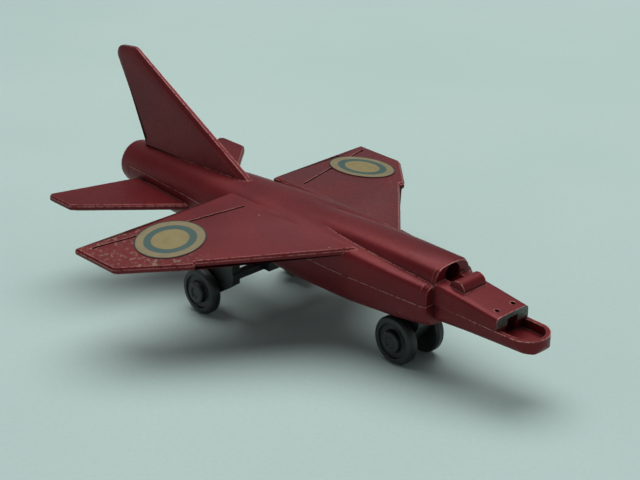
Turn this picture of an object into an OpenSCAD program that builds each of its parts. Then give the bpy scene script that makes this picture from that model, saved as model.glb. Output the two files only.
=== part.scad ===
// Toy jet airplane in two zinc castings on black plastic landing gear.
//
// The castings are drawn in the airframe's own axes: x forward, y to port, z up, with the
// airframe level. The whole airframe is then tipped nose-down, as it stands on its wheels.
// Wheels, axles and legs are drawn in ground axes. The origin is on the ground under the
// middle of the finished toy. All lengths are in millimetres.

/* [Stance] */
// Nose-down angle of the airframe on its wheels, in degrees
nose_down = 4.2; // [3.6:0.1:4.8]
// Diameter of all four wheels
wheel_d = 8.2; // [7.8:0.1:8.4]

/* [Fuselage] */
// Height of the parting plane between the two castings
seam_z = 16; // [15.8:0.1:16.2]
// Gap left between the castings at the parting plane
seam_gap = 0.1; // [0.05:0.05:0.2]
// Thickness of the walls of both castings
wall = 1.3; // [1:0.1:1.5]
// Radius of the tail pipe
pipe_r = 3.9; // [3.6:0.1:4.2]
// Radius of the recess in the end of the tail pipe
pipe_bore_r = 2.9; // [2.4:0.1:3.1]
// Depth of the recess in the end of the tail pipe
pipe_bore_depth = 4; // [2:0.5:6]
// Where the tail pipe ends
pipe_end_x = -38; // [-39:0.2:-37]
// Half-width of the fuselage at the wing's leading edge
trunk_half_w = 6.9; // [6.6:0.1:7.2]
// Where the intake shoulders end
shoulder_end_x = 38.3; // [37.8:0.1:38.8]

/* [Cockpit] */
// Height of the top of the spine behind the cockpit
spine_top_z = 22; // [21.6:0.1:22.4]
// Half-width of the foot of the spine
spine_half_w = 4.7; // [4.3:0.1:5]
// Radius of the socket in the front of the spine
socket_r = 1.65; // [1.2:0.05:1.75]
// Depth of the socket behind the front of the spine
socket_depth = 5; // [3:0.5:8]
// Height of the socket's axis
socket_z = 20.05; // [19.9:0.05:20.2]
// Radius of the cross ridge ahead of the socket
ridge_r = 1.5; // [1.2:0.1:1.7]
// Half-length of the cross ridge
ridge_half_w = 2.5; // [2:0.1:3]

/* [Nose] */
// Where the nose deck and its two prongs end
jaw_end_x = 50.8; // [50:0.1:51.5]
// Half-width of the nose deck at its front end
jaw_half_w = 3.65; // [3.4:0.05:3.8]
// Height of the nose deck at its front end
jaw_top_z = 18.05; // [17.8:0.05:18.3]
// Height of the nose deck at its back end
deck_back_z = 19.65; // [19.4:0.05:19.8]
// Width of the throat between the prongs
throat_w = 2.3; // [1.8:0.1:2.8]
// Radius of the two locating pits in the nose deck
pit_r = 0.4; // [0.3:0.05:0.5]
// Distance of each pit from the middle of the deck
pit_y = 1.85; // [1.8:0.05:2]
// Where the chin lip ends
lip_end_x = 57.2; // [56.8:0.1:57.8]
// Thickness of the chin lip's rim
lip_rim = 0.75; // [0.6:0.05:0.9]
// Depth of the tray inside the chin lip
tray_depth = 1.6; // [1.2:0.1:1.8]

/* [Wings] */
// Distance from the middle of the fuselage to each wing tip
wing_half_span = 33.2; // [32.4:0.1:34]
// Thickness of the wing
wing_t = 1.25; // [1:0.05:1.5]
// Height of the wing's top, carried on to the middle of the fuselage
wing_top_z = 21.05; // [20.9:0.05:21.2]
// Droop of the wing, in degrees
anhedral = 8; // [7:0.1:9]
// Width of the bevel along the wing's edges
wing_bevel = 0.35; // [0.2:0.05:0.5]
// Depth of the control surface grooves
groove_depth = 0.25; // [0.15:0.05:0.35]
// Width of the control surface grooves
groove_w = 0.45; // [0.3:0.05:0.6]

/* [Tail] */
// Height of the fin's tip
fin_top_z = 36.8; // [36:0.1:37.4]
// Thickness of the fin at its foot
fin_root_t = 1.9; // [1.6:0.1:2.2]
// Thickness of the fin at its tip
fin_tip_t = 1.1; // [0.9:0.1:1.3]
// Distance from the middle of the fuselage to each tailplane tip
tail_half_span = 20.3; // [19.4:0.1:21]
// Height of the top of the tailplanes
tail_top_z = 14.4; // [14:0.1:14.8]
// Thickness of the tailplanes
tail_t = 1.1; // [0.9:0.05:1.3]

/* [Stickers] */
// Radius of the round wing stickers
sticker_r = 5.9; // [5.4:0.1:6.1]
// Thickness of the stickers
sticker_t = 0.1; // [0.08:0.02:0.16]

/* [Landing gear] */
// Width of each wheel at the tyre
wheel_w = 2; // [1.8:0.1:2.2]
// Radius of the raised hub on the wheels' outer faces
hub_r = 1.9; // [1.6:0.1:2.1]
// Where the nose axle lies, in ground axes
nose_axle_x = 30.7; // [30.2:0.1:31.2]
// Where the main axles lie, in ground axes
main_axle_x = -7.3; // [-7.8:0.1:-6.8]
// Distance from the middle to the outer tyre face of a nose wheel
nose_wheel_out = 4.1; // [4.05:0.01:4.2]
// Distance from the middle to the outer tyre face of a main wheel
main_wheel_out = 11.7; // [11.4:0.1:12.1]
// Radius of the steel axles
axle_r = 0.5; // [0.4:0.05:0.6]
// Radial clearance of the axles in the legs
axle_clear = 0.05; // [0.03:0.01:0.08]
// Gap between a leg and the wheel beside it
side_gap = 0.15; // [0.1:0.05:0.2]
// Thickness of each trailing arm of the main gear
arm_t = 1.7; // [1.5:0.1:1.9]
// Height of the cross bar of the main gear
bar_h = 1.2; // [1:0.1:1.5]
// Width of the cross bar of the main gear
bar_w = 1.4; // [1.2:0.1:1.8]
// Gap between the plastic gear and the pockets that hold it
gear_fit = 0.1; // [0.05:0.05:0.15]

/* [Rivets] */
// Radius of the two rivet posts that join the castings
post_r = 1; // [0.8:0.1:1.2]
// Gap round each rivet post in the lower casting
post_clear = 0.1; // [0.05:0.05:0.15]
// Radius of the spun rivet heads
rivet_head_r = 1.6; // [1.5:0.1:1.8]

/* [Hidden] */
$fn = 48;
loft_n = 28;
wheel_r = wheel_d / 2;

// A length laid out in ground axes, as a point [x, z] of the airframe's axes
function airframe_at(x, z) =
  [x * cos(nose_down) - z * sin(nose_down), x * sin(nose_down) + z * cos(nose_down)];
// How far forward a point of the airframe lies in ground axes
function ground_x(x, z) = x * cos(nose_down) + z * sin(nose_down);

nose_axle = airframe_at(nose_axle_x, wheel_r);
main_axle = airframe_at(main_axle_x, wheel_r);

// Fuselage stations: x, centre height, half-width, height above and depth below the centre,
// and how square the upper and lower halves are (2 is round, 8 nearly square)
pipe_z = 15.3;
trunk = [
  [pipe_end_x, pipe_z, pipe_r - 0.8, pipe_r - 0.8, pipe_r - 0.8, 2, 2],
  [pipe_end_x + 0.4, pipe_z, pipe_r - 0.25, pipe_r - 0.25, pipe_r - 0.25, 2, 2],
  [pipe_end_x + 1.1, pipe_z, pipe_r, pipe_r, pipe_r, 2, 2],
  [-30.5, 15.4, pipe_r + 0.2, 4.1, 4.2, 2, 2.1],
  [-27.5, 15.4, pipe_r + 0.4, 4.2, 5.2, 2, 2.3],
  [-25, 15.5, 4.6, 4.3, 6.1, 2.1, 2.5],
  [-20, 15.6, 4.9, 4.5, 6.3, 2.2, 2.5],
  [-10, 15.8, 5.9, 4.8, 6.4, 2.5, 2.5],
  [0, seam_z, 6.5, 4.9, 6.5, 3, 2.6],
  [10, seam_z, trunk_half_w, 4.9, 6.8, 4, 2.7],
  [21.5, seam_z, trunk_half_w, 4.3, 6.5, 6, 2.7],
  [31, seam_z, trunk_half_w - 0.6, 3.7, 5.7, 7, 2.8],
  [shoulder_end_x - 0.9, seam_z, trunk_half_w - 1.05, 3.4, 4.6, 7, 3],
  [shoulder_end_x, seam_z, trunk_half_w - 1.5, 3, 4.1, 6, 3]
];
spine = [
  [5, 19, spine_half_w - 1.3, spine_top_z - 20.2, 1, 2.2, 2],
  [13, 19, spine_half_w - 0.8, spine_top_z - 19.6, 1, 2.4, 2],
  [22, 19, spine_half_w - 0.6, spine_top_z - 19.1, 1, 2.8, 2],
  [30, 19, spine_half_w - 0.6, spine_top_z - 19, 1, 3, 2],
  [shoulder_end_x - 0.3, 19, spine_half_w - 0.6, spine_top_z - 19, 1, 3, 2],
  [shoulder_end_x + 0.3, 19, spine_half_w - 0.9, spine_top_z - 19.25, 1, 3, 2]
];
chin_end_w = 3.55;
nose = [
  [shoulder_end_x - 3, seam_z, jaw_half_w + 0.55, deck_back_z + 0.1 - seam_z, 3.8, 8, 3],
  [shoulder_end_x + 1, seam_z, jaw_half_w + 0.35, deck_back_z - 0.2 - seam_z, 3.6, 8, 3],
  [44.5, seam_z, jaw_half_w + 0.2, (deck_back_z + jaw_top_z) / 2 - seam_z, 3.2, 8, 3],
  [jaw_end_x, seam_z, jaw_half_w, jaw_top_z - seam_z, 2.95, 8, 3],
  [55.2, seam_z, chin_end_w, 1, 2.75, 8, 3],
  [56.8, seam_z, chin_end_w, 1, 2.3, 8, 3],
  [lip_end_x + 0.1, seam_z, chin_end_w, 1, 1.3, 8, 3]
];

// Outlines in plan, [x, y], port side; y runs along the panel
wing_outline = [
  [23.3, 4.8], [5.7, 23.6], [6.1, 24.3], [5.4, 25.1], [-2.7, wing_half_span - 0.4],
  [-3.4, wing_half_span], [-12.9, wing_half_span], [-13.2, wing_half_span - 0.3],
  [-10.4, 25], [-11, 24.4], [-6.8, 6.5], [-6.4, 4.8]
];
hinge_line = [[-1.2, 6.9], [-10.9, 31.3]];
tail_outline = [
  [-15.4, 2.4], [-30, tail_half_span - 1], [-31.2, tail_half_span], [-36.6, tail_half_span],
  [-37.4, tail_half_span - 0.7], [-32.4, 2.4]
];

// A curved stretch of an outline
function arc(centre, r, from, to, steps) =
  [for (i = [0:steps]) let (a = from + (to - from) * i / steps) centre + r * [cos(a), sin(a)]];
// The fin in side view, [x, z]
fin_outline = concat(
  [[-5.2, 19.4], [-8.1, 21.2]],
  arc([-37.2, fin_top_z - 2.35], 2.35, 61, 95, 4),
  arc([-40.1, fin_top_z - 2.25], 1.85, 100, 195, 5),
  [[-34.4, 20.9], [-34.6, 18.8]]
);

// One station as a ring of points
function ring(s) = [for (i = [0:loft_n - 1])
  let (a = 360 * i / loft_n, up = sin(a) >= 0, n = up ? s[5] : s[6])
  [s[0], s[2] * sign(cos(a)) * pow(abs(cos(a)), 2 / n),
   s[1] + (up ? s[3] : s[4]) * sign(sin(a)) * pow(abs(sin(a)), 2 / n)]];
// The stations of the hollow inside a loft, between two places along it
function hollow(stations, from, to) = [for (s = stations) if (s[0] > from && s[0] < to)
  [s[0], s[1], s[2] - wall, s[3] - wall, s[4] - wall, s[5], s[6]]];

// Skins a list of stations, which run from back to front
module loft(stations) {
  last = (len(stations) - 1) * loft_n;
  polyhedron(
    [for (s = stations) each ring(s)],
    concat(
      [[for (i = [0:loft_n - 1]) i], [for (i = [loft_n - 1:-1:0]) last + i]],
      [for (j = [0:loft_n:last - 1], i = [0:loft_n - 1])
        let (a = j + i, b = j + (i + 1) % loft_n)
        each [[a, a + loft_n, b + loft_n], [a, b + loft_n, b]]]
    )
  );
}

// The crossing of the two lines that lie d inside the outline's edges next to point i
function inset_point(outline, i, d) =
  let (
    n = len(outline), p = outline[i],
    u = outline[(i + n - 1) % n] - p, v = outline[(i + 1) % n] - p,
    a = u / norm(u), b = v / norm(v), turn = a[0] * b[1] - a[1] * b[0]
  ) abs(turn) < 0.05 ? p + d * [a[1], -a[0]] : p - (a + b) * d / turn;
function inset(outline, d) = [for (i = [0:len(outline) - 1]) inset_point(outline, i, d)];

// A bevelled plate about the plane z = 0. Its outline runs anticlockwise, and its thickness
// goes from root_t at y = root_y to tip_t at y = tip_y.
module plate(outline, bevel, root_t, tip_t, root_y, tip_y) {
  n = len(outline);
  rims = [inset(outline, bevel), outline, outline, inset(outline, bevel)];
  heights = [-1, -0.45, 0.45, 1];
  points = [for (k = [0:3], p = rims[k])
    let (t = root_t + (tip_t - root_t) * (p[1] - root_y) / (tip_y - root_y))
    [p[0], p[1], heights[k] * t / 2]];
  polyhedron(points, concat(
    [[for (i = [0:n - 1]) i], [for (i = [n - 1:-1:0]) 3 * n + i]],
    [for (k = [0:2], i = [0:n - 1]) let (a = k * n + i, b = k * n + (i + 1) % n)
      each [[a, a + n, b + n], [a, b + n, b]]]
  ));
}

// ---- Places that pieces share ----
// Where the tail pipe, which is all upper casting, meets the lower casting
tail_seam_x = pipe_end_x + 2.6;
// The cross bar of the main gear, [x, height of its underside]
bar_x = -1.65;
bar_z = 7.2;
// The moulded block in the middle of the bar, which a rivet post passes through
block_l = 4;
block_half_w = 2.6;
// How far the block is let into the belly
block_seat = 0.5;
front_rivet_x = 14;
rivet_head_h = 0.5;
// Inner face of each trailing arm, and inner tyre faces of the wheels
arm_out = main_wheel_out - wheel_w - side_gap;
arm_in = arm_out - arm_t;
nose_leg_half_t = nose_wheel_out - wheel_w - side_gap;
boss_r = 1.55;
leg_front = 3.6;
leg_back = 2;
// How far above the axle the leg begins to narrow
leg_taper_z = 3;
flange_t = 0.9;
flange_overhang = 0.7;
hub_proud = 0.6;
axle_grip = 1.8;
pin_head_r = 0.95;
pin_head_t = 0.4;
sticker_places = [[-3.6, 23.4], [-2.8, -21.4]];

// Height of the underside of the belly
function belly_z(x) = lookup(x, [for (s = trunk) [s[0], s[1] - s[4]]]);
// Height of the nose deck
function deck_z(x) = lookup(x, [for (s = nose) [s[0], s[1] + s[3]]]);
block_top = belly_z(bar_x) + block_seat;

// Stands the level airframe on its wheels, over the middle of its length
module as_it_stands() {
  middle = (ground_x(lip_end_x, seam_z) + ground_x(-42, fin_top_z - 2)) / 2;
  translate([-middle, 0, 0]) rotate([0, nose_down, 0]) children();
}
module both_sides() {
  children();
  mirror([0, 1, 0]) children();
}
// Everything above or below the parting plane, between two places along the airframe
module above_seam(from, to) {
  translate([from, -20, seam_z]) cube([to - from, 40, 12]);
}
module below_seam(from, to) {
  translate([from, -20, 4]) cube([to - from, 40, seam_z - seam_gap - 4]);
}
// A side-view outline, [x, z], made half_t thick on each side of the plane y = 0
module side_plate(half_t) {
  rotate([90, 0, 0]) linear_extrude(height = 2 * half_t, center = true) children();
}
// A round bar or hole along y through a point of the airframe
module cross_hole(at, r, from, to) {
  translate([at[0], from, at[1]]) rotate([-90, 0, 0]) cylinder(h = to - from, r = r);
}
// The plan of the chin, inset by d
module chin_plan(d, back) {
  r = jaw_half_w - d;
  translate([lip_end_x - jaw_half_w, 0]) circle(r = r);
  translate([back, -r]) square([lip_end_x - jaw_half_w - back, 2 * r]);
}

// ---- Upper casting ----
module wing_plane() {
  translate([0, 0, wing_top_z]) rotate([-anhedral, 0, 0]) children();
}
module wing() {
  wing_plane() difference() {
    translate([0, 0, -wing_t / 2]) plate(wing_outline, wing_bevel, wing_t, wing_t, 0, 1);
    groove(hinge_line[0], hinge_line[1]);
  }
}
module groove(from, to) {
  run = to - from;
  translate([from[0], from[1], -groove_depth]) rotate([0, 0, atan2(run[1], run[0])])
    translate([0, -groove_w / 2, 0]) cube([norm(run), groove_w, 1]);
}
module fin() {
  rotate([90, 0, 0])
    plate(fin_outline, 0.9, fin_root_t, fin_tip_t, 20, fin_top_z);
}
module cross_ridge() {
  x = shoulder_end_x + 3.5;
  cross_hole([x, deck_z(x) - 0.1], ridge_r, -ridge_half_w, ridge_half_w);
}
module socket() {
  translate([shoulder_end_x + 0.3 - socket_depth, 0, socket_z]) rotate([0, 90, 0])
    cylinder(h = socket_depth + 1.8, r = socket_r);
}
module throat() {
  floor_z = seam_z - tray_depth;
  translate([jaw_end_x - 5, -throat_w / 2, floor_z])
    cube([6, throat_w, jaw_top_z - 0.8 - floor_z]);
}
module post(x, from, r) {
  translate([x, 0, from]) cylinder(h = spine_top_z - 2 - from, r = r);
}
module rivet_head(x, z) {
  translate([x, 0, z - rivet_head_h])
    cylinder(h = rivet_head_h, r1 = rivet_head_r - 0.35, r2 = rivet_head_r);
}
module upper_casting() {
  front_head_z = belly_z(front_rivet_x) + rivet_head_h + 0.1;
  color("firebrick") as_it_stands() {
    difference() {
      union() {
        intersection() {
          loft(trunk);
          union() {
            above_seam(tail_seam_x - 1, shoulder_end_x + 1);
            translate([pipe_end_x - 1, -10, 4]) cube([tail_seam_x - pipe_end_x + 1, 20, 24]);
          }
        }
        intersection() {
          loft(nose);
          above_seam(shoulder_end_x - 4, jaw_end_x);
        }
        loft(spine);
        cross_ridge();
        fin();
        both_sides() wing();
      }
      intersection() {
        loft(hollow(trunk, -25, 32));
        translate([0, 0, -1]) above_seam(-30, 40);
      }
      socket();
      throat();
      translate([pipe_end_x - 1, 0, pipe_z]) rotate([0, 90, 0])
        cylinder(h = pipe_bore_depth + 1, r = pipe_bore_r);
      for (y = [-pit_y, pit_y]) translate([jaw_end_x - 1.6, y, jaw_top_z - 0.6])
        cylinder(h = 2, r = pit_r);
    }
    post(bar_x, bar_z - 0.1, post_r);
    rivet_head(bar_x, bar_z);
    post(front_rivet_x, front_head_z - 0.1, post_r);
    rivet_head(front_rivet_x, front_head_z);
  }
}

// ---- Lower casting ----
module tailplane() {
  translate([0, 0, tail_top_z - tail_t / 2]) plate(tail_outline, 0.3, tail_t, tail_t, 0, 1);
}
module lower_casting() {
  head_seat = belly_z(front_rivet_x) + rivet_head_h + 0.1;
  color("darkred") as_it_stands() difference() {
    union() {
      intersection() {
        loft(trunk);
        below_seam(tail_seam_x + seam_gap, shoulder_end_x + 1);
      }
      intersection() {
        loft(nose);
        below_seam(shoulder_end_x - 4, lip_end_x + 1);
        linear_extrude(height = 20) chin_plan(0, shoulder_end_x - 4);
      }
      both_sides() tailplane();
    }
    intersection() {
      loft(hollow(trunk, -25, 38));
      translate([0, 0, 1]) below_seam(-30, 40);
    }
    translate([0, 0, seam_z - tray_depth]) linear_extrude(height = 4)
      chin_plan(lip_rim, jaw_end_x - 0.3);
    throat();
    nose_leg_outline(gear_fit);
    bar_block(gear_fit);
    for (x = [bar_x, front_rivet_x]) translate([x, 0, 4]) cylinder(h = 8, r = post_r + post_clear);
    translate([front_rivet_x, 0, 4]) cylinder(h = head_seat - 4, r = rivet_head_r + post_clear);
  }
}

// ---- Landing gear ----
// The flange lies over the highest part of the belly's floor that it spans
flange_z = belly_z(nose_axle[0] + leg_front + flange_overhang) + wall + 0.35;
module nose_leg_outline(fit) {
  top = flange_z + flange_t;
  side_plate(nose_leg_half_t + fit) {
    translate([nose_axle[0] - leg_back - fit, nose_axle[1] + leg_taper_z])
      square([leg_back + leg_front + 2 * fit, top - nose_axle[1] - leg_taper_z]);
    polygon([
      nose_axle + [-leg_back - fit, leg_taper_z], nose_axle + boss_r * [cos(200), sin(200)],
      nose_axle + boss_r * [cos(300), sin(300)], nose_axle + [leg_front + fit, leg_taper_z]
    ]);
    translate(nose_axle) circle(r = boss_r);
  }
}
module nose_gear_leg() {
  color("black") as_it_stands() difference() {
    union() {
      nose_leg_outline(0);
      translate([nose_axle[0] - leg_back - flange_overhang, -nose_leg_half_t - 0.5, flange_z])
        cube([leg_back + leg_front + 2 * flange_overhang, 2 * nose_leg_half_t + 1, flange_t]);
    }
    cross_hole(nose_axle, axle_r + axle_clear, -5, 5);
  }
}
module bar_block(fit) {
  translate([bar_x - block_l / 2 - fit, -block_half_w - fit, bar_z])
    cube([block_l + 2 * fit, 2 * block_half_w + 2 * fit, block_top - bar_z]);
}
module trailing_arm() {
  front = bar_x + 0.5;
  top = bar_z + 3;
  translate([0, (arm_in + arm_out) / 2, 0]) side_plate(arm_t / 2) {
    polygon([
      [front, top], [front - 3.6, top], main_axle + [-0.9, 3.6],
      main_axle + boss_r * [cos(165), sin(165)], main_axle + boss_r * [cos(285), sin(285)],
      [front - 2.2, bar_z - 2.6], [front, bar_z - 0.9]
    ]);
    translate(main_axle) circle(r = boss_r);
  }
}
module main_gear_frame() {
  color("black") as_it_stands() difference() {
    union() {
      translate([bar_x - bar_w / 2, -arm_out, bar_z]) cube([bar_w, 2 * arm_out, bar_h]);
      bar_block(0);
      both_sides() trailing_arm();
    }
    both_sides() cross_hole(main_axle, axle_r + axle_clear, arm_in - 1, arm_out + 1);
    translate([bar_x, 0, bar_z - 1]) cylinder(h = 6, r = post_r + post_clear);
  }
}

// ---- Wheels and axles ----
// A wheel lying with its inner face on z = 0
module wheel_turned() {
  face = wheel_w;
  dish = wheel_w - 0.4;
  proud = wheel_w + hub_proud;
  rotate_extrude() polygon([
    [axle_r, 0], [wheel_r - 0.7, 0], [wheel_r - 0.3, 0.15], [wheel_r, 0.55],
    [wheel_r, face - 0.55], [wheel_r - 0.3, face - 0.15], [wheel_r - 0.7, face],
    [wheel_r - 1.1, face], [wheel_r - 1.3, dish], [hub_r + 0.1, dish], [hub_r, dish + 0.15],
    [hub_r - 0.1, proud - 0.15], [hub_r - 0.35, proud], [0.95, proud], [0.85, proud - 0.2],
    [0, proud - 0.2], [0, axle_grip + 0.05], [axle_r, axle_grip + 0.05]
  ]);
}
// A wheel on the port side of the toy, turning on an axle, with its tyre's outer face at out
module wheel_at(axle, out) {
  color("dimgray") translate([axle[0], out - wheel_w, axle[1]]) rotate([-90, 0, 0])
    wheel_turned();
}
module nose_axle() {
  half_l = nose_wheel_out - wheel_w + axle_grip;
  color("silver") as_it_stands() cross_hole(nose_axle, axle_r, -half_l, half_l);
}
module main_pin() {
  head_in = arm_in - side_gap - pin_head_t;
  color("silver") {
    cross_hole(main_axle, axle_r, head_in, main_wheel_out - wheel_w + axle_grip);
    cross_hole(main_axle, pin_head_r, head_in, head_in + pin_head_t);
  }
}
module nose_wheel_port() { as_it_stands() wheel_at(nose_axle, nose_wheel_out); }
module nose_wheel_starboard() {
  as_it_stands() mirror([0, 1, 0]) wheel_at(nose_axle, nose_wheel_out);
}
module main_wheel_port() { as_it_stands() wheel_at(main_axle, main_wheel_out); }
module main_wheel_starboard() {
  as_it_stands() mirror([0, 1, 0]) wheel_at(main_axle, main_wheel_out);
}
module main_axle_port() { as_it_stands() main_pin(); }
module main_axle_starboard() { as_it_stands() mirror([0, 1, 0]) main_pin(); }

// ---- Stickers ----
module roundel(place) {
  color("khaki") wing_plane() translate([place[0], place[1] / cos(anhedral), 0])
    cylinder(h = sticker_t, r = sticker_r);
}
module port_roundel() { as_it_stands() roundel(sticker_places[0]); }
module starboard_roundel() {
  as_it_stands() mirror([0, 1, 0]) roundel([sticker_places[1][0], -sticker_places[1][1]]);
}

upper_casting();
lower_casting();
nose_gear_leg();
main_gear_frame();
nose_axle();
nose_wheel_port();
nose_wheel_starboard();
main_axle_port();
main_axle_starboard();
main_wheel_port();
main_wheel_starboard();
port_roundel();
starboard_roundel();
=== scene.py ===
import math
import bmesh
import bpy
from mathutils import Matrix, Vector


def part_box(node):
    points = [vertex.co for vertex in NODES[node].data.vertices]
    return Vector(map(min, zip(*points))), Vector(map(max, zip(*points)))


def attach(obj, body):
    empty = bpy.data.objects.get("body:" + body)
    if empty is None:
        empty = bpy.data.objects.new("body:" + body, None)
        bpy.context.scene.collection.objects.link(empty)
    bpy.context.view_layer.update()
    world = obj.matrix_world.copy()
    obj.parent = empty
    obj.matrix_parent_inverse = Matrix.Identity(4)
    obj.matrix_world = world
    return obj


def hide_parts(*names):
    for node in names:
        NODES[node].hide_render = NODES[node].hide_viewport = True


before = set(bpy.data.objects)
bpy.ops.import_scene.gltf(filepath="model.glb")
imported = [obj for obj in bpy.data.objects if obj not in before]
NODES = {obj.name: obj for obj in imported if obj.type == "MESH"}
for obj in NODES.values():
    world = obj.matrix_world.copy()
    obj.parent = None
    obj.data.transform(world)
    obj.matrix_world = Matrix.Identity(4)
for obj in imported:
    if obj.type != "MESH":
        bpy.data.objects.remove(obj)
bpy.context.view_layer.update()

MM = 0.001

# Places on the airplane, in mm in the row's frame
JAW_END_X = (40.0, 41.0)  # the upper jaw's two end faces lie ahead of this
JAW_END_Z = (12.2, 12.8)  # and above the seam, which is this high there
FLECKED_Y = (-19.0, -26.0)  # the flecks on the starboard wing grow from the first to the second

# Moulded edges, in mm
UPPER_EDGE = 0.13
LOWER_EDGE = 0.12
GEAR_EDGE = 0.12
WHEEL_EDGE = 0.08
SHARP_ANGLE = 26.0  # degrees; a flatter fold stays smooth
WELD = 0.002  # vertices closer than this are one
FLAT_ANGLE = 0.3  # degrees; flatter folds are dissolved

# Studio, in metres and watts
FLOOR_SIZE = 6.0
LAMP_PLACE = (-0.10, 0.14, 0.80)
LAMP_SIZE = 1.0
LAMP_POWER = 7.0
HORIZON = 0.42  # the world's strength up to a rise of 0.15
OVERHEAD = 0.1  # and from a rise of 0.45

# Camera: the turn holds the small roll that matches a toy leaning on its gear
LENS = 101.25
SENSOR = 36.0
CAMERA_PLACE = (0.199832, -0.188607, 0.125988)
CAMERA_TURN = (67.883, 1.957, 45.656)


# ---- Shader helpers ----
class Shader:
    """A material built from nodes. Patterns are placed by the object's own coordinates."""

    def __init__(self, name):
        self.mat = bpy.data.materials.new(name)
        self.mat.use_nodes = True
        self.tree = self.mat.node_tree
        self.bsdf = self.tree.nodes["Principled BSDF"]
        self.coords = self.add("ShaderNodeTexCoord").outputs["Object"]

    def add(self, kind, **values):
        node = self.tree.nodes.new(kind)
        for key, value in values.items():
            setattr(node, key, value)
        return node

    def link(self, source, socket):
        if isinstance(source, (int, float, tuple)):
            socket.default_value = source
        else:
            self.tree.links.new(source, socket)

    def set(self, **values):
        for key, value in values.items():
            self.link(value, self.bsdf.inputs[key.replace("_", " ")])

    def math(self, operation, a, b=0.0):
        node = self.add("ShaderNodeMath", operation=operation)
        for socket, value in zip(node.inputs, (a, b)):
            self.link(value, socket)
        return node.outputs[0]

    def split(self, source):
        """The X, Y and Z outputs of a vector."""
        node = self.add("ShaderNodeSeparateXYZ")
        self.link(source, node.inputs[0])
        return node.outputs

    def vector(self, operation, a, b=(0.0, 0.0, 0.0), output="Vector"):
        node = self.add("ShaderNodeVectorMath", operation=operation)
        self.link(a, node.inputs[0])
        self.link(b, node.inputs[1])
        return node.outputs[output]

    def noise(self, per_mm, detail, roughness, stretch=(1.0, 1.0, 1.0), offset=(0.0, 0.0, 0.0)):
        place = self.vector("MULTIPLY_ADD", self.coords, stretch)
        place.node.inputs[2].default_value = offset
        node = self.add("ShaderNodeTexNoise")
        self.link(place, node.inputs["Vector"])
        node.inputs["Scale"].default_value = per_mm / MM
        node.inputs["Detail"].default_value = detail
        node.inputs["Roughness"].default_value = roughness
        return node.outputs["Fac"]

    def ramp(self, value, low, high, to_low=0.0, to_high=1.0):
        """A smooth change from to_low, where the value is low, to to_high, where it is high."""
        node = self.add("ShaderNodeMapRange", interpolation_type="SMOOTHSTEP")
        for key, source in (("Value", value), ("From Min", low), ("From Max", high),
                            ("To Min", to_low), ("To Max", to_high)):
            self.link(source, node.inputs[key])
        return node.outputs[0]

    def mix(self, factor, a, b):
        node = self.add("ShaderNodeMix", data_type="RGBA")
        self.link(factor, node.inputs["Factor"])
        # The first sockets of a Mix node are for numbers and vectors; these are its colours
        self.link(a, node.inputs[6])
        self.link(b, node.inputs[7])
        return node.outputs[2]

    def edges(self, radius_mm):
        """How much the surface turns within this distance, 0 on flat faces, and the rounded normal."""
        node = self.add("ShaderNodeBevel", samples=6)
        node.inputs["Radius"].default_value = radius_mm * MM
        geometry = self.add("ShaderNodeNewGeometry")
        rounded = node.outputs["Normal"]
        facing = self.vector("DOT_PRODUCT", rounded, geometry.outputs["Normal"], "Value")
        return self.math("SUBTRACT", 1.0, facing), rounded

    def bump(self, height, distance_mm, strength):
        node = self.add("ShaderNodeBump")
        self.link(height, node.inputs["Height"])
        node.inputs["Distance"].default_value = distance_mm * MM
        node.inputs["Strength"].default_value = strength
        self.link(node.outputs["Normal"], self.bsdf.inputs["Normal"])


def colour(r, g, b):
    """An sRGB colour, 0 to 255, as linear RGBA."""
    def linear(v):
        v /= 255
        if v <= 0.04045:
            return v / 12.92
        return ((v + 0.055) / 1.055) ** 2.4

    return (linear(r), linear(g), linear(b), 1.0)


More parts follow.
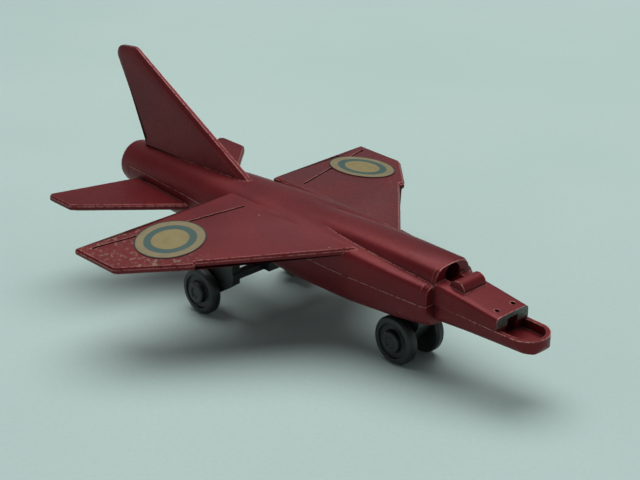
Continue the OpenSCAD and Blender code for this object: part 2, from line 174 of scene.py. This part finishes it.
# ---- Materials ----
def red_paint():
    """Old red enamel on cast metal: pale wear and painted highlight on the leading edges, painted shade
    in the corners, flecked on one wing, bare on the jaw.
    """
    s = Shader("red_paint")
    cloud = s.noise(0.05, 4.0, 0.6)
    fine = s.noise(1.6, 4.0, 0.65)
    grain = s.noise(6.0, 2.0, 0.5)
    enamel = s.mix(s.ramp(cloud, 0.3, 0.7), colour(100, 21, 28), colour(120, 31, 36))
    enamel = s.mix(s.ramp(fine, 0.35, 0.75, 0.0, 0.4), enamel, colour(82, 20, 27))
    x, y, z = s.split(s.coords)
    facing = s.split(s.add("ShaderNodeNewGeometry").outputs["Normal"])
    # Thin pale wear along the edges that lead, or that stand out at the sides, also a painted highlight
    # on these edges where they face up
    turn, rounded = s.edges(0.3)
    lean = s.split(rounded)
    sideways = s.math("MULTIPLY", s.math("ABSOLUTE", lean["Y"]), 0.45)
    leading = s.ramp(s.math("ADD", lean["X"], sideways), 0.14, 0.3)
    upward = s.ramp(lean["Z"], -0.1, 0.3)
    rubbed_and_lit = s.math("MULTIPLY", s.math("MULTIPLY", leading, upward), s.ramp(fine, 0.38, 0.5))
    edge_wear_and_highlight = s.math("MULTIPLY", s.ramp(turn, 0.012, 0.06), rubbed_and_lit)
    # Flecks on the outer part of the starboard wing
    outer = s.ramp(y, *(v * MM for v in FLECKED_Y))
    on_top = s.ramp(facing["Z"], 0.6, 0.85)
    flecks = s.ramp(s.noise(1.1, 5.0, 0.8), 0.53, 0.62)
    worn_wing = s.math("MULTIPLY", s.math("MULTIPLY", outer, on_top), flecks)
    # Bare metal on the two end faces of the open upper jaw
    jaw_end = s.math("MULTIPLY", s.ramp(facing["X"], 0.8, 0.92), s.ramp(x, *(v * MM for v in JAW_END_X)))
    jaw_end = s.math("MULTIPLY", jaw_end, s.ramp(z, *(v * MM for v in JAW_END_Z)))
    jaw_end = s.math("MULTIPLY", jaw_end, s.ramp(fine, 0.3, 0.42))
    dots = s.ramp(s.noise(0.75, 1.0, 0.4, offset=(0.3, 0.1, 0.7)), 0.81, 0.825, 0.0, 0.8)
    worn_pale = s.math("MAXIMUM", s.math("MULTIPLY", worn_wing, 0.85), dots)
    primer = s.mix(s.ramp(grain, 0.3, 0.7), colour(112, 100, 84), colour(164, 152, 128))
    bare = s.mix(s.ramp(grain, 0.35, 0.65), colour(78, 88, 84), colour(122, 132, 124))
    # Pale edges, part wear and part painted highlight
    base = s.mix(s.math("MULTIPLY", edge_wear_and_highlight, 0.9), enamel, colour(214, 150, 142))
    base = s.mix(worn_pale, base, primer)
    base = s.mix(jaw_end, base, bare)
    # Painted shade: darker in the corners and in the tray of the lip, from ambient occlusion
    corner = s.add("ShaderNodeAmbientOcclusion", samples=8)
    corner.inputs["Distance"].default_value = 2.2 * MM
    painted_corner_shade = s.ramp(corner.outputs["AO"], 0.75, 0.35, 0.0, 0.75)
    base = s.mix(painted_corner_shade, base, colour(38, 34, 34))
    uneven = s.math("ADD", s.math("MULTIPLY", cloud, 0.5), s.math("MULTIPLY", fine, 0.5))
    s.set(Base_Color=base,
          Metallic=s.ramp(jaw_end, 0.0, 1.0, 0.35, 0.5),
          Roughness=s.ramp(uneven, 0.35, 0.7, 0.36, 0.5),
          Specular_IOR_Level=0.3)
    s.bump(s.math("ADD", s.math("MULTIPLY", grain, 0.25), s.math("MULTIPLY", fine, 0.6)), 0.02, 0.6)
    return s.mat


def black_plastic(name, shade, roughness):
    """Moulded plastic, a little paler and rougher in places, scuffed grey along its edges."""
    s = Shader(name)
    cloud = s.noise(0.25, 4.0, 0.6)
    grain = s.noise(5.0, 3.0, 0.6)
    turn, _ = s.edges(0.25)
    scuff = s.math("MULTIPLY", s.ramp(turn, 0.04, 0.2), s.ramp(grain, 0.45, 0.65))
    dark = colour(shade - 4, shade, shade + 1)
    pale = colour(shade + 4, shade + 9, shade + 10)
    base = s.mix(s.ramp(cloud, 0.3, 0.7), dark, pale)
    s.set(Base_Color=s.mix(s.math("MULTIPLY", scuff, 0.5), base, colour(78, 84, 84)),
          Roughness=s.ramp(cloud, 0.3, 0.7, roughness - 0.06, roughness + 0.08))
    s.bump(grain, 0.012, 0.5)
    return s.mat


def steel():
    """Drawn wire, with streaks along its length, which is Y."""
    s = Shader("steel")
    drawn = s.noise(3.0, 3.0, 0.6, (1.0, 0.1, 1.0))
    s.set(Base_Color=s.mix(s.ramp(drawn, 0.35, 0.65), colour(150, 150, 148), colour(190, 190, 186)),
          Metallic=1.0, Roughness=s.ramp(drawn, 0.3, 0.7, 0.25, 0.42))
    s.bump(drawn, 0.006, 0.4)
    return s.mat


def roundel_print(node):
    """Concentric printed rings about the middle of the disc."""
    s = Shader(node + "_print")
    low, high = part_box(node)
    middle = tuple((a + b) / 2 for a, b in zip(low, high))
    radius = (high[0] - low[0]) / 2
    wobble = s.noise(0.35, 2.0, 0.5)
    distance = s.math("DIVIDE", s.vector("DISTANCE", s.coords, middle, "Value"), radius)
    r = s.math("ADD", distance, s.math("MULTIPLY", s.math("SUBTRACT", wobble, 0.5), 0.03))
    fade = s.noise(0.5, 5.0, 0.7)
    blotch = s.ramp(fade, 0.35, 0.7, 0.0, 0.5)
    outer = s.mix(blotch, colour(136, 124, 88), colour(112, 103, 74))
    ring = s.mix(blotch, colour(44, 82, 80), colour(70, 92, 78))
    centre = s.mix(blotch, colour(142, 128, 80), colour(120, 110, 70))
    inner_edge = s.ramp(r, 0.515, 0.545)
    outer_edge = s.ramp(r, 0.725, 0.755)
    rim = s.ramp(r, 0.95, 0.975)
    base = s.mix(inner_edge, centre, ring)
    base = s.mix(outer_edge, base, outer)
    base = s.mix(rim, base, colour(34, 24, 20))
    s.set(Base_Color=base, Roughness=s.ramp(fade, 0.3, 0.7, 0.42, 0.58))
    s.bump(fade, 0.015, 0.5)
    return s.mat


def floor_surface():
    """A pale green-grey sheet with faint clouds and grain."""
    s = Shader("floor_surface")
    cloud = s.noise(0.012, 3.0, 0.5)
    grain = s.noise(1.2, 3.0, 0.6)
    base = s.mix(s.ramp(cloud, 0.3, 0.7), colour(186, 211, 207), colour(192, 216, 212))
    base = s.mix(s.ramp(grain, 0.3, 0.7, 0.0, 0.25), base, colour(178, 202, 198))
    # The lamp falls off far from the object; there the floor keeps its own pale colour
    seen = s.add("ShaderNodeLightPath").outputs
    mirrored = s.math("MAXIMUM", seen["Is Glossy Ray"], seen["Is Transmission Ray"])
    eye = s.math("MAXIMUM", seen["Is Camera Ray"], mirrored)
    far = s.ramp(s.vector("LENGTH", s.coords, output="Value"), 0.2, 1.3, 0.0, 0.85)
    s.set(Base_Color=base, Roughness=0.7,
          Emission_Color=colour(176, 200, 196),
          Emission_Strength=s.math("MULTIPLY", eye, far))
    s.bump(grain, 0.02, 0.3)
    return s.mat


# ---- Pieces ----
def paint(obj, material):
    obj.data.materials.clear()
    obj.data.materials.append(material)


def skin(node, body, material, radius_mm):
    """The CAD piece with its moulded edges rounded off."""
    sharp = math.radians(SHARP_ANGLE)
    mesh = NODES[node].data.copy()
    work = bmesh.new()
    work.from_mesh(mesh)
    bmesh.ops.remove_doubles(work, verts=work.verts, dist=WELD * MM)
    flat = math.radians(FLAT_ANGLE)
    bmesh.ops.dissolve_limit(work, angle_limit=flat, verts=work.verts, edges=work.edges)
    work.to_mesh(mesh)
    work.free()
    if "custom_normal" in mesh.attributes:
        mesh.attributes.remove(mesh.attributes["custom_normal"])
    obj = bpy.data.objects.new(node + "_skin", mesh)
    bpy.context.scene.collection.objects.link(obj)
    for polygon in mesh.polygons:
        polygon.use_smooth = True
    mesh.set_sharp_from_angle(angle=sharp)
    bevel = obj.modifiers.new("edges", "BEVEL")
    bevel.width = radius_mm * MM
    bevel.segments = 3
    bevel.limit_method = "ANGLE"
    bevel.angle_limit = sharp
    bevel.harden_normals = True
    paint(obj, material)
    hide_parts(node)
    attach(obj, body)


red = red_paint()
frame_black = black_plastic("black_plastic", 20, 0.45)
wheel_black = black_plastic("wheel_plastic", 26, 0.4)
bright = steel()

skin("upper_casting", "airframe", red, UPPER_EDGE)
skin("lower_casting", "airframe", red, LOWER_EDGE)
skin("nose_gear_leg", "airframe", frame_black, GEAR_EDGE)
skin("main_gear_frame", "airframe", frame_black, GEAR_EDGE)
WHEEL_BODIES = {
    "nose_wheel_port": "nose_wheel_set",
    "nose_wheel_starboard": "nose_wheel_set",
    "main_wheel_port": "main_wheel_set_port",
    "main_wheel_starboard": "main_wheel_set_starboard",
}
for wheel, body in WHEEL_BODIES.items():
    skin(wheel, body, wheel_black, WHEEL_EDGE)
for pin in ("nose_axle", "main_axle_port", "main_axle_starboard"):
    paint(NODES[pin], bright)
for disc in ("port_roundel", "starboard_roundel"):
    paint(NODES[disc], roundel_print(disc))


# ---- Studio ----
bpy.ops.mesh.primitive_plane_add(size=FLOOR_SIZE, location=(0.0, 0.0, 0.0))
floor = bpy.context.object
floor.name = "floor"
paint(floor, floor_surface())


def area_light(name, place, aim, size, power, tint):
    """A round lamp at a place, turned to face the aim."""
    data = bpy.data.lights.new(name, "AREA")
    data.shape = "DISK"
    data.size = size
    data.energy = power
    data.color = tint
    light = bpy.data.objects.new(name, data)
    light.location = place
    bpy.context.scene.collection.objects.link(light)
    direction = [b - a for a, b in zip(place, aim)]
    flat = math.hypot(direction[0], direction[1])
    light.rotation_euler = (math.atan2(flat, -direction[2]), 0.0, math.atan2(-direction[0], direction[1]))


area_light("window", LAMP_PLACE, (0.0, 0.0, 0.0), LAMP_SIZE, LAMP_POWER, (1.0, 0.99, 0.97))
world = bpy.context.scene.world or bpy.data.worlds.new("world")
bpy.context.scene.world = world
world.use_nodes = True
background = world.node_tree.nodes["Background"]
background.inputs["Color"].default_value = (0.93, 0.98, 1.0, 1.0)
# A pale band near the horizon, dimmer overhead, where the lamp is
tree = world.node_tree
rise = tree.nodes.new("ShaderNodeSeparateXYZ")
tree.links.new(tree.nodes.new("ShaderNodeTexCoord").outputs["Generated"], rise.inputs[0])
band = tree.nodes.new("ShaderNodeMapRange")
for key, value in (("From Min", 0.15), ("From Max", 0.45), ("To Min", HORIZON), ("To Max", OVERHEAD)):
    band.inputs[key].default_value = value
tree.links.new(rise.outputs["Z"], band.inputs["Value"])
tree.links.new(band.outputs[0], background.inputs["Strength"])

# ---- Camera ----
lens = bpy.data.cameras.new("camera")
lens.lens = LENS
lens.sensor_width = SENSOR
lens.clip_start = 0.01
camera = bpy.data.objects.new("camera", lens)
camera.location = CAMERA_PLACE
camera.rotation_euler = tuple(math.radians(v) for v in CAMERA_TURN)
bpy.context.scene.collection.objects.link(camera)
bpy.context.scene.camera = camera
bpy.context.scene.view_settings.view_transform = "Standard"
